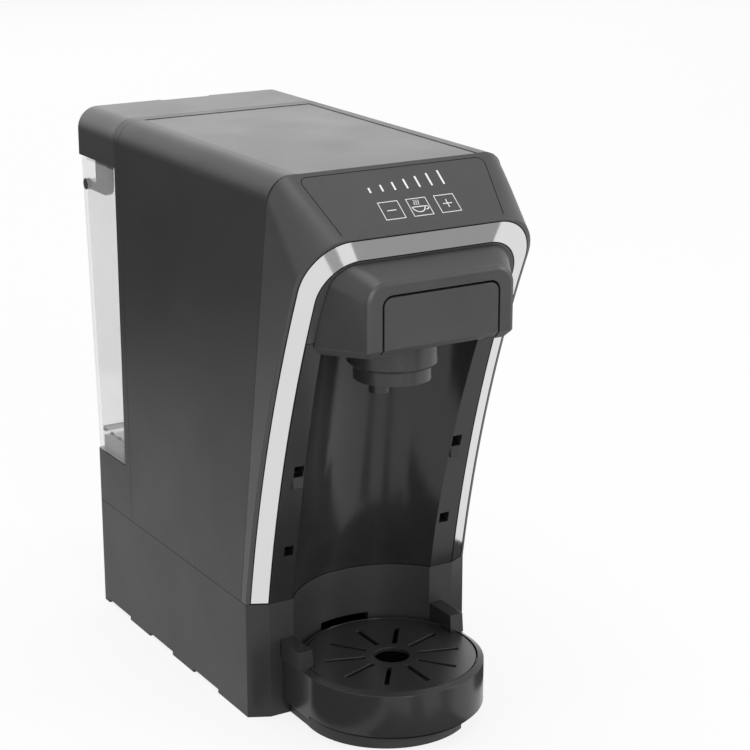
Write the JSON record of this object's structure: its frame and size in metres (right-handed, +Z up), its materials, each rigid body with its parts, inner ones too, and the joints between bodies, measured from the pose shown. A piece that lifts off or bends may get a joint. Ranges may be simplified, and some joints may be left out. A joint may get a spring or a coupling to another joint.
{
  "type": "pod coffee machine",
  "caption": "Slim pod coffee machine with a sloped touch panel, a chrome arch over a concave cup bay, a slide-out capsule drawer, a clear rear water tank and a round pull-out drip tray.",
  "frame": {"origin": "middle of the footprint, on the table", "axes": "+Z up, -Y towards the user at the front, +X to the machine's side"},
  "size_m": [0.13, 0.2694, 0.2852],
  "materials": {
    "satin_black": "satin",
    "top_black": "satin",
    "front_black": "satin",
    "bay_black": "satin",
    "head_black": "satin",
    "lid_black": "satin",
    "tray_black": "satin",
    "grid_black": "satin",
    "spout_black": "satin",
    "dark_plastic": "matt",
    "hinge_grey": "satin",
    "touch_film": "gloss",
    "foot_rubber": "matt",
    "chrome": "polished",
    "inner_steel": "brushed",
    "board_green": "matt",
    "clear_tank": "clear"
  },
  "bodies": {
    "machine": {"base_shell": "satin_black", "base_plate": "dark_plastic", "rubber_feet": "foot_rubber", "main_shell": "satin_black", "top_panel": "top_black", "rear_frame": "satin_black", "front_fascia": "front_black", "bay_insert": "bay_black", "chrome_trim": "chrome", "touch_panel": "touch_film", "control_board": "board_green", "head_shell": "head_black", "drawer_guide_left": "dark_plastic", "drawer_guide_right": "dark_plastic", "chassis_shelf": "dark_plastic", "brew_head": "dark_plastic", "boiler": "inner_steel", "pump": "inner_steel"},
    "drawer": {"drawer_front": "head_black", "drawer_frame": "dark_plastic", "capsule_cup": "dark_plastic", "spout_body": "spout_black", "spout_ring": "spout_black", "spout_outlet": "spout_black"},
    "drip_tray": {"drip_tray": "tray_black"},
    "drip_grid": {"drip_grid": "grid_black"},
    "tank": {"water_tank": "clear_tank", "tank_valve": "dark_plastic"},
    "tank_lid": {"tank_lid": "lid_black", "lid_hinge_left": "hinge_grey", "lid_hinge_right": "hinge_grey"}
  },
  "joints": [
    {"name": "drawer_slide", "type": "slide", "parent": "machine", "child": "drawer", "axis": [0, -1, 0], "range_m": [0, 0.062]},
    {"name": "tray_pull", "type": "slide", "parent": "machine", "child": "drip_tray", "axis": [0, -1, 0], "range_m": [0, 0.07]},
    {"name": "grid_lift", "type": "slide", "parent": "drip_tray", "child": "drip_grid", "axis": [0, 0, 1], "range_m": [0, 0.04]},
    {"name": "tank_lift", "type": "slide", "parent": "machine", "child": "tank", "axis": [0, 0, 1], "range_m": [0, 0.18]},
    {"name": "lid_hinge", "type": "hinge", "parent": "tank", "child": "tank_lid", "pos_m": [0, 0.1284, 0.244], "axis": [-1, 0, 0], "range_deg": [0, 100]}
  ]
}
